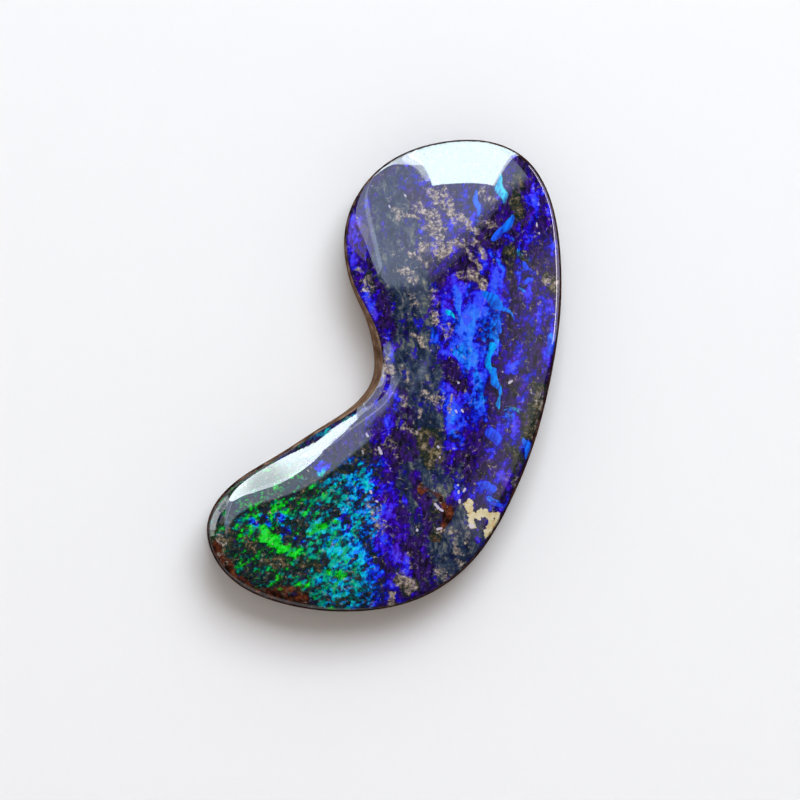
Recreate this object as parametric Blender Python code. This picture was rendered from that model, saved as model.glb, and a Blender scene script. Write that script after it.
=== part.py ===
"""A polished freeform boulder opal: one kidney-shaped stone lying on its flat ironstone back.

The outline is a closed smooth curve through a few points read by eye. Above a small bevel at the
back, the wall leans inward to the rim, more so around the hollow. From its level top the polished
face falls over a shoulder to the rim. The shoulder's width and fall change around the stone, so the
rim's height does too, and beside the hollow the face has a shallow dip.
+Z is up out of the polished face, +Y points along the stone to its head.
"""
import math

import bmesh
import bpy
import numpy as np
from mathutils import Vector
from mathutils.geometry import delaunay_2d_cdt

MM = 0.001

# The outline at the girdle in millimetres, clockwise as seen from above, from the top of the head
OUTLINE = (
    (3.50, 11.75), (5.35, 11.65), (7.05, 10.80), (8.10, 9.25), (8.75, 6.20), (8.75, 3.10),
    (8.30, 0.00), (7.45, -3.35), (6.20, -6.40), (4.40, -9.20), (1.95, -11.00), (-1.70, -11.75),
    (-5.45, -11.25), (-7.15, -10.50), (-8.45, -9.15), (-8.85, -7.30), (-7.90, -5.65),
    (-5.55, -4.05), (-3.20, -2.55), (-1.65, -1.50), (-0.65, -0.15), (-0.60, 1.40),
    (-0.95, 2.80), (-1.60, 4.30), (-2.00, 5.90), (-1.95, 7.60), (-1.25, 9.25), (0.05, 10.60),
    (1.70, 11.40),
)

# Heights above the surface that the stone lies on
GIRDLE_HEIGHT = 0.25
TOP_HEIGHT = 3.70

# How far the back and the rim lie inside the girdle
BACK_INSET = 0.25
RIM_INSET = 0.05
HOLLOW_INSET = 0.30
HOLLOW_REACH = 2.6
HOLLOW_CENTRE = (-0.62, 0.70)
LEAN_POWER = 1.5

# The polished edge next to the rim: its rise, and the distance over which it fades
EDGE_ROLL = 0.04
EDGE_REACH = 0.10

# The dome: how wide its shoulder is and how far it falls, given at stations around the outline
SHOULDERS = (
    ((3.50, 11.75), 5.1, 0.95),
    ((7.60, 10.20), 5.3, 1.20),
    ((8.75, 4.50), 4.7, 1.20),
    ((8.50, 0.80), 4.5, 1.15),
    ((7.45, -3.35), 2.9, 1.00),
    ((1.95, -11.00), 2.2, 0.90),
    ((-5.45, -11.25), 1.4, 0.75),
    ((-8.85, -7.90), 0.9, 0.45),
    ((-7.40, -5.20), 1.1, 0.65),
    ((-4.80, -3.55), 3.0, 1.20),
    ((-2.60, -2.20), 1.9, 0.80),
    ((-0.90, -0.60), 1.1, 0.45),
    ((-0.60, 1.40), 2.1, 0.40),
    ((-1.30, 3.60), 2.2, 0.40),
    ((-2.00, 5.90), 5.4, 0.70),
    ((-1.25, 9.25), 6.0, 0.80),
)
SHOULDER_BLEND = 2.4
SHOULDER_POWER = 2.2

# The shallow dip beside the hollow: its place, its reach along X and Y, and its depth
DIP_CENTRE = (0.43, 1.80)
DIP_REACH = (1.0, 1.5)
DIP_DEPTH = 0.45

# The mesh: rings just inside the rim, then an even scatter of points over the rest of the face
SEGMENTS = 112
WALL_RINGS = 2
FACE_RINGS = (0.05, 0.13, 0.26, 0.45, 0.70, 1.00)
SCATTER_STEP = 0.55
SCATTER_CLEARANCE = 0.30

# How finely the outline is sampled for the sums along it
OUTLINE_SAMPLES = 3360
OUTLINE_STEPS = 20

# The triangulation keeps what is inside its border, and merges points closer than this
INSIDE_ONLY = 1
MERGE_DISTANCE = 0.0001

SHARP_ANGLE = math.radians(28.0)
PART_NAME = "boulder_opal"


def closed_curve(points, count):
    """Return count points, evenly spaced along the closed cubic spline through the given points.

    The spline has a continuous second derivative, and its parameter is the chord length.
    """
    knots = np.array(points, float)
    number = len(knots)
    chord = np.hypot(*np.diff(np.vstack([knots, knots[:1]]), axis=0).T)
    matrix = np.zeros((number, number))
    right = np.zeros((number, 2))
    for i in range(number):
        before, after = chord[i - 1], chord[i]
        following = (i + 1) % number
        matrix[i, (i - 1) % number] += before
        matrix[i, i] += 2 * (before + after)
        matrix[i, following] += after
        right[i] = 6 * ((knots[following] - knots[i]) / after - (knots[i] - knots[i - 1]) / before)
    bending = np.linalg.solve(matrix, right)
    start = np.r_[0, np.cumsum(chord)]

    def evaluate(distance):
        i = np.clip(np.searchsorted(start, distance, side="right") - 1, 0, number - 1)
        j = (i + 1) % number
        h = chord[i][:, None]
        t = (distance - start[i])[:, None]
        w = h - t
        cubic = (bending[i] * w ** 3 + bending[j] * t ** 3) / (6 * h)
        linear = (knots[i] / h - bending[i] * h / 6) * w + (knots[j] / h - bending[j] * h / 6) * t
        return cubic + linear

    fine = np.linspace(0, start[-1], OUTLINE_STEPS * count, endpoint=False)
    curve = evaluate(fine)
    steps = np.hypot(*np.diff(np.vstack([curve, curve[:1]]), axis=0).T)
    travelled = np.r_[0, np.cumsum(steps)]
    even = np.linspace(0, travelled[-1], count, endpoint=False)
    return evaluate(np.interp(even, travelled, np.r_[fine, start[-1]]))


def outward(curve):
    """Return the unit vectors that point out of a closed clockwise curve."""
    along = np.roll(curve, -1, 0) - np.roll(curve, 1, 0)
    along /= np.linalg.norm(along, axis=1)[:, None]
    return np.stack([-along[:, 1], along[:, 0]], 1)


def arc_distance(curve, place):
    """Return each point's distance along the curve from the curve's point nearest to a place."""
    step = np.linalg.norm(curve[1] - curve[0])
    nearest = np.argmin(((curve - np.array(place)) ** 2).sum(1))
    index = np.arange(len(curve)) - nearest
    half = len(curve) // 2
    return step * ((index + half) % len(curve) - half)


class Stone:
    """The stone's shape in millimetres, as numbers that follow from the dimensions above."""

    def __init__(self):
        curve = closed_curve(OUTLINE, OUTLINE_SAMPLES)
        self.centre = (curve.min(0) + curve.max(0)) / 2
        self.girdle = curve
        self.normal = outward(curve)
        bump = np.exp(-(arc_distance(curve, HOLLOW_CENTRE) / HOLLOW_REACH) ** 2)
        self.rim_inset = RIM_INSET + HOLLOW_INSET * bump
        self.rim = curve - self.normal * self.rim_inset[:, None]
        self.rim_step = np.hypot(*(np.roll(self.rim, -1, 0) - self.rim).T)
        weight = np.stack([
            np.exp(-(arc_distance(curve, place) / SHOULDER_BLEND) ** 2)
            for place, _, _ in SHOULDERS])
        weight /= weight.sum(0)
        self.shoulder_width = np.array([width for _, width, _ in SHOULDERS]) @ weight
        self.shoulder_fall = np.array([fall for _, _, fall in SHOULDERS]) @ weight
        self.rim_height = TOP_HEIGHT - self.shoulder_fall - EDGE_ROLL - self.dip(self.rim)

    def ring(self, inset, height):
        """Return a ring of points inside the girdle, whose inset and height may vary along it."""
        stride = OUTLINE_SAMPLES // SEGMENTS
        inset, height = (np.broadcast_to(values, OUTLINE_SAMPLES) for values in (inset, height))
        flat = self.girdle - self.normal * inset[:, None]
        return np.column_stack([flat, height])[::stride]

    def dip(self, flat):
        """Return the depth of the dip over flat points: depth * exp(-(x / a)^2 - (y / b)^2)."""
        away = (flat - np.array(DIP_CENTRE)) / np.array(DIP_REACH)
        return DIP_DEPTH * np.exp(-(away ** 2).sum(1))

    def face_height(self, flat):
        """Return the height of the polished face over the given points inside the rim.

        The distance d to the rim is the root of 2 over the sum of ds / r^3 round the rim, which is
        smooth everywhere. The same weights spread the shoulder's width w and fall h inward. The
        height is the top's, less h (1 - d / w)^p, less the roll times exp(-d / reach), less the
        dip.
        """
        squared = ((flat[:, None] - self.rim[None]) ** 2).sum(2)
        weight = self.rim_step / squared ** 1.5
        total = weight.sum(1)
        depth = np.sqrt(2 / total)
        width = weight @ self.shoulder_width / total
        fall = weight @ self.shoulder_fall / total
        roll = EDGE_ROLL * np.exp(-depth / EDGE_REACH)
        left = np.clip(1 - depth / width, 0, None)
        return TOP_HEIGHT - fall * left ** SHOULDER_POWER - roll - self.dip(flat)

    def face_rings(self):
        """Return the rings of the face just inside the rim."""
        stride = OUTLINE_SAMPLES // SEGMENTS
        rim = self.rim[::stride]
        inward = self.normal[::stride]
        rings = [rim - inward * offset for offset in FACE_RINGS]
        return [np.column_stack([flat, self.face_height(flat)]) for flat in rings]

    def scatter(self):
        """Return points in even rows over the face, a clearance inside its innermost ring.

        A point is inside the rim where the flux of (r / r^2) out of the rim is a full turn.
        """
        low, high = self.rim.min(0), self.rim.max(0)
        row_step = SCATTER_STEP * math.sqrt(0.75)
        rows = np.arange(low[1], high[1], row_step)
        across = np.arange(low[0], high[0], SCATTER_STEP)
        x, y = np.meshgrid(across, rows)
        x[1::2] += SCATTER_STEP / 2
        flat = np.column_stack([x.ravel(), y.ravel()])
        reach = self.rim[None] - flat[:, None]
        squared = (reach ** 2).sum(2)
        turns = ((reach * self.normal[None]).sum(2) / squared) @ self.rim_step / (2 * math.pi)
        depth = np.sqrt(squared.min(1))
        flat = flat[(turns > 0.5) & (depth > FACE_RINGS[-1] + SCATTER_CLEARANCE)]
        return np.column_stack([flat, self.face_height(flat)])


def material(name, colour, roughness, coat):
    """Return a stone material of one colour."""
    finish = bpy.data.materials.new(name)
    finish.use_nodes = True
    shader = finish.node_tree.nodes["Principled BSDF"]
    shader.inputs["Base Color"].default_value = (*colour, 1.0)
    shader.inputs["Roughness"].default_value = roughness
    shader.inputs["Metallic"].default_value = 0.0
    shader.inputs["Coat Weight"].default_value = coat
    finish.diffuse_color = (*colour, 1.0)
    return finish


def add_points(mesh, points, centre):
    """Add vertices at the points, moved to the stone's own centre."""
    return [mesh.verts.new(((x - centre[0]) * MM, (y - centre[1]) * MM, z * MM))
            for x, y, z in points]


def join_loop(mesh, corners):
    """Join vertices by a closed loop of edges."""
    return [mesh.edges.new((a, b)) for a, b in zip(corners, corners[1:] + corners[:1])]


def fill_face(mesh, border, scattered):
    """Fill the face inside its innermost ring with a Delaunay triangulation of the scatter."""
    corners = border + scattered
    flat = [Vector((corner.co.x, corner.co.y)) / MM for corner in corners]
    edge_of_face = [list(range(len(border)))]
    found = delaunay_2d_cdt(flat, [], edge_of_face, INSIDE_ONLY, MERGE_DISTANCE)
    return [mesh.faces.new([corners[i] for i in triangle]) for triangle in found[2]]


def boulder_opal():
    """Build the stone: the flat back, the bevel, the leaning wall and the domed face."""
    stone = Stone()
    mesh = bmesh.new()
    rings = [stone.ring(BACK_INSET, 0.0), stone.ring(0.0, GIRDLE_HEIGHT)]
    for i in range(1, WALL_RINGS + 1):
        share = i / WALL_RINGS
        height = GIRDLE_HEIGHT + (stone.rim_height - GIRDLE_HEIGHT) * share
        rings.append(stone.ring(stone.rim_inset * share ** LEAN_POWER, height))
    wall_bands = len(rings) - 1
    rings += stone.face_rings()
    corners = [add_points(mesh, ring, stone.centre) for ring in rings]
    loops = [join_loop(mesh, ring) for ring in corners]

    face = []
    for i, (outer, inner) in enumerate(zip(loops, loops[1:])):
        band = bmesh.ops.bridge_loops(mesh, edges=outer + inner)["faces"]
        if i >= wall_bands:
            face += band
    scattered = add_points(mesh, stone.scatter(), stone.centre)
    face += fill_face(mesh, corners[-1], scattered)
    bmesh.ops.triangle_fill(mesh, use_beauty=True, edges=loops[0])
    for polygon in face:
        polygon.material_index = 1
    bmesh.ops.triangulate(mesh, faces=mesh.faces[:])
    bmesh.ops.recalc_face_normals(mesh, faces=mesh.faces[:])

    data = bpy.data.meshes.new(PART_NAME)
    mesh.to_mesh(data)
    mesh.free()
    data.materials.append(material("ironstone", (0.075, 0.035, 0.020), 0.35, 0.2))
    data.materials.append(material("opal_face", (0.030, 0.020, 0.300), 0.06, 1.0))
    data.shade_smooth()
    data.set_sharp_from_angle(angle=SHARP_ANGLE)
    part = bpy.data.objects.new(PART_NAME, data)
    bpy.context.scene.collection.objects.link(part)
    return part


def main():
    for old in list(bpy.data.objects):
        bpy.data.objects.remove(old, do_unlink=True)
    boulder_opal()


main()
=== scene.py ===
"""Looks of a polished freeform boulder opal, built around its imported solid."""
import math

import bpy
import numpy as np
from bpy.props import FloatProperty, FloatVectorProperty, PointerProperty
from mathutils import Euler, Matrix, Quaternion, Vector


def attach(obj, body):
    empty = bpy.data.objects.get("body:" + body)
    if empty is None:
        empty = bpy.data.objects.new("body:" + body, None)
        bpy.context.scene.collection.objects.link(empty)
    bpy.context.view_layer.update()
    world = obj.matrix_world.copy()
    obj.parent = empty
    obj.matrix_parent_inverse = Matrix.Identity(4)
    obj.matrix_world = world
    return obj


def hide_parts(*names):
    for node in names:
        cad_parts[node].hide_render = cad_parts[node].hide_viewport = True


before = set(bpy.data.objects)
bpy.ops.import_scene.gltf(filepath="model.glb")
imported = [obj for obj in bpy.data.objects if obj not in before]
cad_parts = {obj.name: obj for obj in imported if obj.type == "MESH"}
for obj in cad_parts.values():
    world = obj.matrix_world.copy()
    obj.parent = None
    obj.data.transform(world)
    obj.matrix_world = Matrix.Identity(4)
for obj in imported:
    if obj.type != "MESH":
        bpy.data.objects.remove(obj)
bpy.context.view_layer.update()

bl_info = {
    "name": "Boulder Opal",
    "version": (1, 0, 0),
    "blender": (4, 5, 0),
    "location": "View3D > Sidebar > Boulder Opal",
    "description": "Makes a polished freeform boulder opal and a pale stage for it",
    "category": "Add Mesh",
}

MM = 0.001

# The outline at the girdle in millimetres, clockwise as seen from above, from the top of the
# head: points picked from the edge that an edge finder traced in the photo, and rounded
OUTLINE = (
    (3.50, 11.75), (5.35, 11.65), (7.05, 10.80), (8.10, 9.25), (8.75, 6.20), (8.75, 3.10),
    (8.30, 0.00), (7.45, -3.35), (6.20, -6.40), (4.40, -9.20), (1.95, -11.00), (-1.70, -11.75),
    (-5.45, -11.25), (-7.15, -10.50), (-8.45, -9.15), (-8.85, -7.30), (-7.90, -5.65),
    (-5.55, -4.05), (-3.20, -2.55), (-1.65, -1.50), (-0.65, -0.15), (-0.60, 1.40),
    (-0.95, 2.80), (-1.60, 4.30), (-2.00, 5.90), (-1.95, 7.60), (-1.25, 9.25), (0.05, 10.60),
    (1.70, 11.40),
)
HOLLOW_CENTRE = (-0.62, 0.70)

# The dome: how wide its shoulder is and how far it falls, given at stations around the outline.
# These values and the dip's are rounded from a least-squares fit of the dome to the edges of the
# reflections in the photo. The fourth station and the width of the fifth were set after it.
SHOULDERS = (
    ((3.50, 11.75), 5.1, 0.95),
    ((7.60, 10.20), 5.3, 1.20),
    ((8.75, 4.50), 4.7, 1.20),
    ((8.50, 0.80), 4.5, 1.15),
    ((7.45, -3.35), 2.9, 1.00),
    ((1.95, -11.00), 2.2, 0.90),
    ((-5.45, -11.25), 1.4, 0.75),
    ((-8.85, -7.90), 0.9, 0.45),
    ((-7.40, -5.20), 1.1, 0.65),
    ((-4.80, -3.55), 3.0, 1.20),
    ((-2.60, -2.20), 1.9, 0.80),
    ((-0.90, -0.60), 1.1, 0.45),
    ((-0.60, 1.40), 2.1, 0.40),
    ((-1.30, 3.60), 2.2, 0.40),
    ((-2.00, 5.90), 5.4, 0.70),
    ((-1.25, 9.25), 6.0, 0.80),
)
SHOULDER_BLEND = 2.4
SHOULDER_POWER = 2.2

# The shallow dip beside the hollow: its place and its reach along X and Y
DIP_CENTRE = (0.43, 1.80)
DIP_REACH = (1.0, 1.5)

# The mesh of the stone: its columns run round it, and its rows from the back over the rim to HUB
COLUMNS = 720
SAMPLES_PER_COLUMN = 4
CURVE_STEPS = 4
FAR_STRIDE = 8
BEVEL_ROWS = 6
WALL_ROWS = 12
ROUND_ROWS = 5
OFFSETS = (0.06, 0.09, 0.13, 0.18, 0.24, 0.31, 0.39, 0.48, 0.58, 0.69, 0.81, 0.94)
FAN_ROWS = 104
HUB = (4.50, -3.45)
WALL_POWER = 1.5
POINTS_AT_ONCE = 2000

# The arm's share of the colours: where it starts down Y and ends along X, how softly, and its
# hues along X
ARM_START = -3.2
ARM_BLEND = 1.4
ARM_END = 0.6
ARM_END_BLEND = 1.2
ARM_HUES = (
    (-8.9, 0.88), (-5.8, 0.95), (-4.2, 0.88), (-2.7, 0.74), (-1.7, 0.60), (-0.8, 0.44),
    (-0.2, 0.24), (0.3, 0.10),
)
BODY_HUE = 0.08
BODY_GLOW = 0.16

# Play of colour: strokes in millimetres from end to end, with their reach, hue and glow.
# The hue runs from 0, violet, over blue, cyan and teal to 1, green. Later strokes lie on top.
PLAY = (
    # Broad zones
    (-1.5, 7.55, -1.35, 5.7, 0.6, 0.07, 0.66), (-1.65, 5.7, -1.25, 3.8, 0.5, 0.07, 0.62),
    (-0.95, 4.05, -0.25, 2.55, 0.5, 0.08, 0.55), (-0.35, 2.55, 0.35, 0.55, 0.45, 0.06, 0.35),
    (-0.65, -1.2, 0.15, -0.45, 0.5, 0.07, 0.45), (1.0, 8.05, 0.75, 6.05, 1.3, 0.05, 0.05),
    (3.0, 8.8, 3.35, 6.8, 1.1, 0.05, 0.34), (4.25, 8.05, 4.75, 6.8, 0.7, 0.12, 0.3),
    (6.35, 9.3, 6.45, 7.05, 0.6, 0.06, 0.14), (8.0, 9.4, 8.25, 6.05, 0.5, 0.09, 0.66),
    (7.5, 8.8, 7.65, 6.8, 0.45, 0.07, 0.5), (5.4, 6.05, 5.25, 2.3, 0.95, 0.19, 1.35),
    (3.65, 3.8, 3.5, 1.55, 1.0, 0.17, 1.25), (4.25, 2.55, 5.05, 1.55, 0.9, 0.24, 1.2),
    (4.25, 1.3, 4.35, -1.45, 0.9, 0.22, 1.05), (3.25, -0.6, 3.95, -3.3, 0.6, 0.18, 1.05),
    (6.15, 3.8, 7.25, 3.05, 0.75, 0.12, 0.72), (8.15, 3.8, 8.15, 0.2, 0.45, 0.1, 0.66),
    (6.85, 6.55, 6.65, 5.7, 0.7, 0.09, 0.6), (6.45, 1.55, 6.75, -0.45, 0.65, 0.09, 0.74),
    (6.25, -0.95, 6.15, -3.2, 0.6, 0.12, 0.55), (6.75, -3.2, 6.95, -4.2, 0.45, 0.14, 0.7),
    (5.5, -2.2, 5.45, -3.45, 0.6, 0.12, 0.6), (4.65, -3.2, 4.45, -4.6, 0.6, 0.03, 0.1),
    (3.5, -5.2, 4.05, -6.2, 0.5, 0.1, 0.52), (4.75, -5.8, 4.45, -6.2, 0.6, 0.1, 0.66),
    (5.45, -5.2, 5.65, -6.3, 0.6, 0.12, 0.62), (6.0, -4.95, 6.35, -5.8, 0.4, 0.04, 0.55),
    (5.25, -3.95, 5.75, -4.7, 0.6, 0.05, 0.36), (1.5, 4.3, 1.65, -2.7, 0.9, 0.08, 0.04),
    (-0.5, -3.2, 0.5, -4.3, 0.7, 0.06, 0.5), (1.0, -3.7, 2.75, -4.2, 0.9, 0.05, 0.06),
    (-0.25, -5.1, 0.15, -7.95, 0.7, 0.08, 0.9), (0.35, -8.2, 0.95, -9.7, 0.6, 0.07, 0.88),
    (1.75, -8.45, 2.0, -8.8, 0.3, 0.05, 0.6), (2.75, -5.2, 2.55, -9.2, 0.9, 0.05, 0.02),
    (1.15, -5.2, 1.45, -7.7, 0.45, 0.05, 0.26), (0.0, -10.45, 0.65, -11.45, 0.4, 0.1, 0.55),
    (3.75, -7.2, 4.25, -9.2, 0.9, 0.05, 0.08), (-1.45, -6.2, -1.65, -10.7, 0.7, 0.6, 0.78),
    (-2.55, -5.7, -2.55, -10.7, 0.7, 0.64, 0.86), (-3.65, -7.2, -3.65, -10.2, 0.8, 0.74, 0.72),
    (-4.95, -6.95, -4.75, -9.2, 0.9, 0.88, 0.56), (-6.35, -7.2, -5.95, -9.2, 0.8, 0.94, 0.5),
    (-7.25, -7.2, -6.95, -8.7, 0.5, 0.86, 0.42), (-5.85, -9.95, -4.25, -10.2, 0.55, 0.9, 0.26),
    (-0.95, -9.2, -0.65, -11.3, 0.5, 0.46, 0.76), (-4.25, -10.9, -1.65, -11.4, 0.4, 0.7, 0.5),
    (-2.95, -5.1, -1.15, -5.8, 0.55, 0.62, 0.62), (-0.65, -6.2, -0.65, -8.2, 0.4, 0.4, 0.62),
    (-7.85, -7.45, -7.95, -8.2, 0.4, 0.8, 0.16),
    # Head
    (-1.6, 7.4, -1.4, 6.65, 0.35, 0.05, 0.95), (-1.95, 6.8, -1.75, 6.0, 0.25, 0.08, 0.7),
    (-1.7, 5.7, -1.4, 5.3, 0.25, 0.06, 0.95), (-0.95, 3.8, -0.55, 3.2, 0.3, 0.09, 1.0),
    (-1.25, 2.9, -0.95, 2.3, 0.2, 0.06, 0.6), (3.1, 7.4, 3.55, 6.9, 0.3, 0.03, 0.75),
    (1.75, 9.9, 2.05, 9.55, 0.25, 0.04, 0.45), (1.7, 7.25, 1.8, 7.1, 0.12, 0.2, 1.0),
    (3.2, 8.7, 3.4, 8.45, 0.15, 0.04, 0.7), (3.75, 6.4, 3.65, 5.7, 0.35, 0.02, 0.34),
    (3.25, 5.7, 3.55, 5.4, 0.25, 0.0, 0.1), (3.0, 5.7, 3.1, 3.8, 0.3, 0.08, 0.8),
    (2.65, 4.4, 3.15, 3.5, 0.35, 0.12, 0.8), (4.65, 9.4, 4.55, 8.0, 0.16, 0.24, 0.6),
    (5.3, 6.0, 5.35, 4.4, 0.45, 0.18, 1.05), (4.95, 5.7, 4.9, 4.55, 0.3, 0.14, 0.8),
    (4.75, 6.7, 5.35, 6.5, 0.3, 0.04, 0.05), (7.05, 9.9, 6.65, 9.3, 0.3, 0.05, 0.05),
    (6.55, 8.8, 6.5, 8.05, 0.35, 0.05, 0.06), (7.3, 9.9, 7.45, 9.4, 0.2, 0.06, 0.9),
    (7.45, 8.8, 7.65, 8.05, 0.23, 0.12, 0.95), (7.95, 8.8, 8.15, 7.5, 0.2, 0.08, 0.85),
    (6.9, 5.4, 7.15, 5.2, 0.25, 0.22, 1.0), (6.6, 4.8, 7.2, 4.2, 0.35, 0.14, 0.9),
    (6.1, 5.7, 6.15, 4.3, 0.3, 0.05, 0.1), (6.05, 2.9, 6.35, 2.05, 0.3, 0.05, 0.25),
    (5.35, 3.2, 5.45, 2.1, 0.5, 0.34, 0.92), (5.05, 2.8, 5.1, 2.0, 0.3, 0.28, 0.9),
    (4.05, 4.3, 4.1, 3.7, 0.17, 0.26, 0.95), (3.35, 2.1, 3.55, 1.5, 0.25, 0.16, 0.95),
    (2.6, 2.7, 2.75, 1.6, 0.25, 0.1, 0.8), (2.25, 2.3, 2.45, 1.6, 0.25, 0.22, 0.85),
    (3.85, 1.2, 4.55, 0.7, 0.3, 0.34, 1.0), (8.2, 2.1, 8.15, 1.1, 0.2, 0.26, 1.05),
    (8.3, 3.8, 8.35, 2.5, 0.15, 0.1, 0.9), (7.45, 3.8, 7.65, 2.3, 0.3, 0.07, 0.6),
    (6.75, 2.3, 6.95, 1.7, 0.25, 0.1, 0.7), (4.55, 5.5, 4.65, 4.6, 0.25, 0.02, 0.1),
    (3.5, 2.3, 4.25, 1.8, 0.3, 0.2, 0.88),
    # Middle
    (6.7, 9.8, 6.45, 8.5, 0.3, 0.06, -0.25), (6.4, 8.5, 6.6, 7.8, 0.35, 0.05, -0.15),
    (5.45, 6.7, 5.95, 6.6, 0.2, 0.05, -0.1), (6.15, 6.2, 6.85, 5.9, 0.3, 0.06, -0.15),
    (6.1, 5.7, 6.1, 4.5, 0.2, 0.06, 0.0), (6.75, 5.95, 7.05, 5.85, 0.15, 0.62, 0.35),
    (5.05, 5.9, 5.25, 4.6, 0.5, 0.16, 1.05), (3.15, 0.5, 3.75, -0.5, 0.4, 0.02, 0.02),
    (3.5, -0.1, 3.85, -0.4, 0.3, 0.02, 0.02), (5.15, -0.6, 5.45, -1.1, 0.23, 0.02, 0.08),
    (4.85, -2.4, 5.05, -2.9, 0.23, 0.02, 0.06), (3.4, 1.3, 3.55, 1.0, 0.2, 0.18, 1.0),
    (4.05, 1.4, 4.25, 0.7, 0.3, 0.26, 1.05), (4.4, 1.1, 4.5, 0.6, 0.2, 0.38, 1.1),
    (3.1, -0.75, 3.4, -1.3, 0.3, 0.06, 0.95), (3.5, -1.6, 3.8, -1.8, 0.2, 0.2, 1.05),
    (4.15, -0.3, 4.35, -1.0, 0.3, 0.16, 1.0), (4.6, -0.8, 4.75, -1.05, 0.17, 0.34, 1.1),
    (4.15, -1.3, 4.45, -1.5, 0.25, 0.24, 1.05), (3.25, -2.05, 3.55, -3.0, 0.23, 0.22, 1.05),
    (3.75, -2.4, 4.15, -2.9, 0.3, 0.12, 0.95), (4.9, -2.1, 5.0, -2.2, 0.1, 0.2, 1.05),
    (3.3, -3.6, 3.55, -3.75, 0.2, 0.16, 1.0), (2.95, -3.4, 3.05, -3.5, 0.2, 0.06, 0.8),
    (4.0, -3.0, 4.55, -3.2, 0.25, 0.04, 0.55), (5.25, -2.6, 5.65, -2.7, 0.25, 0.2, 0.95),
    (6.05, -1.9, 6.35, -2.2, 0.25, 0.36, 1.15), (5.95, -2.4, 6.35, -2.8, 0.3, 0.2, 0.85),
    (6.25, -2.7, 6.6, -3.1, 0.25, 0.08, 0.7), (6.95, -3.2, 7.15, -3.8, 0.23, 0.3, 1.1),
    (6.8, -3.2, 6.85, -3.4, 0.25, 0.16, 0.9), (6.65, -0.5, 6.9, -0.75, 0.2, 0.03, 0.65),
    (6.15, -0.4, 6.5, -0.8, 0.3, 0.0, 0.06), (6.8, 0.7, 6.9, 0.5, 0.15, 0.16, 0.85),
    (6.9, 0.2, 7.05, -0.1, 0.15, 0.08, 0.8), (5.75, -5.05, 5.85, -5.2, 0.3, 0.0, 1.0),
    (6.15, -5.6, 6.25, -5.65, 0.15, 0.0, 0.85), (4.3, -5.7, 4.45, -5.9, 0.23, 0.06, 1.0),
    (3.6, -5.0, 3.8, -5.3, 0.25, 0.1, 0.85), (3.6, -5.6, 3.7, -6.1, 0.17, 0.14, 0.85),
    (5.05, -5.3, 5.25, -5.8, 0.3, 0.2, 0.95), (5.15, -6.0, 5.55, -6.1, 0.17, 0.26, 1.05),
    (5.45, -6.3, 5.75, -6.45, 0.2, 0.14, 1.05), (5.55, -5.5, 5.85, -5.9, 0.25, 0.04, 0.35),
    (5.1, -4.1, 5.45, -4.4, 0.3, 0.0, 0.12), (4.25, -3.5, 4.35, -4.0, 0.45, 0.0, 0.03),
    (3.9, -4.2, 4.65, -4.5, 0.4, 0.02, 0.06), (5.45, -3.9, 5.85, -4.3, 0.25, 0.05, 0.6),
    (4.65, -8.1, 4.75, -8.25, 0.18, 0.04, 0.85), (-0.15, -0.15, -0.05, -0.25, 0.2, 0.06, 1.0),
    (0.15, -0.5, 0.55, -1.2, 0.25, 0.06, 0.9), (0.25, -2.2, 0.35, -2.8, 0.2, 0.06, 1.0),
    (-0.55, -3.2, -0.45, -3.3, 0.15, 0.06, 0.95), (-1.1, -3.35, -1.05, -3.45, 0.15, 0.08, 0.9),
    (0.05, -1.2, 0.35, -2.0, 0.25, 0.05, 0.7), (0.9, -2.45, 1.05, -2.7, 0.17, 0.04, 0.7),
    (-1.35, -3.65, -1.15, -3.8, 0.15, 0.22, 0.7), (-0.75, -5.45, -0.6, -5.65, 0.17, 0.1, 1.1),
    (0.45, -3.2, 0.85, -3.8, 0.3, 0.02, 0.22), (-0.45, -5.9, -0.15, -6.2, 0.25, 0.08, 1.0),
    (-0.05, -6.8, 0.25, -7.7, 0.3, 0.03, 0.95), (-0.4, -4.7, 0.35, -5.1, 0.2, 0.04, 0.3),
    (0.85, -4.9, 1.15, -7.2, 0.15, 0.04, 0.55), (0.55, -8.55, 1.15, -9.2, 0.3, 0.04, 1.1),
    (-0.35, -8.2, -0.05, -8.6, 0.25, 0.08, 0.95), (0.05, -9.8, 0.35, -10.3, 0.2, 0.06, 0.9),
    (2.3, -6.45, 2.55, -7.95, 0.45, 0.0, -0.4), (1.95, -8.6, 2.15, -8.8, 0.2, 0.04, 0.8),
    (3.05, 7.5, 3.55, 7.25, 0.35, 0.04, 0.8), (4.65, 7.7, 5.15, 6.9, 0.3, 0.45, -0.05),
    (2.85, -9.5, 4.15, -8.5, 0.55, 0.05, -0.2),
    # Arm
    (-4.25, -3.65, -1.65, -2.05, 0.3, 0.66, 0.45), (-5.4, -6.6, -5.0, -6.8, 0.25, 0.97, 1.05),
    (-5.95, -7.85, -5.05, -8.4, 0.35, 1.0, 1.2), (-4.75, -8.6, -4.0, -9.05, 0.28, 0.97, 1.05),
    (-7.1, -7.5, -6.8, -8.1, 0.23, 0.97, 0.95), (-6.95, -7.5, -6.7, -7.8, 0.15, 0.94, 1.0),
    (-7.35, -6.8, -6.95, -7.25, 0.25, 0.74, 0.75), (-6.7, -7.3, -6.5, -7.45, 0.15, 0.08, 0.8),
    (-6.1, -7.05, -5.8, -7.3, 0.2, 0.12, 0.7), (-5.45, -6.85, -5.05, -7.05, 0.17, 0.1, 0.65),
    (-3.45, -5.45, -2.85, -5.85, 0.2, 0.86, 0.9), (-3.85, -7.8, -2.85, -7.1, 0.2, 0.7, 0.95),
    (-3.35, -8.0, -2.35, -7.4, 0.2, 0.66, 0.9), (-3.15, -7.4, -2.7, -7.1, 0.17, 0.92, 1.0),
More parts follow.
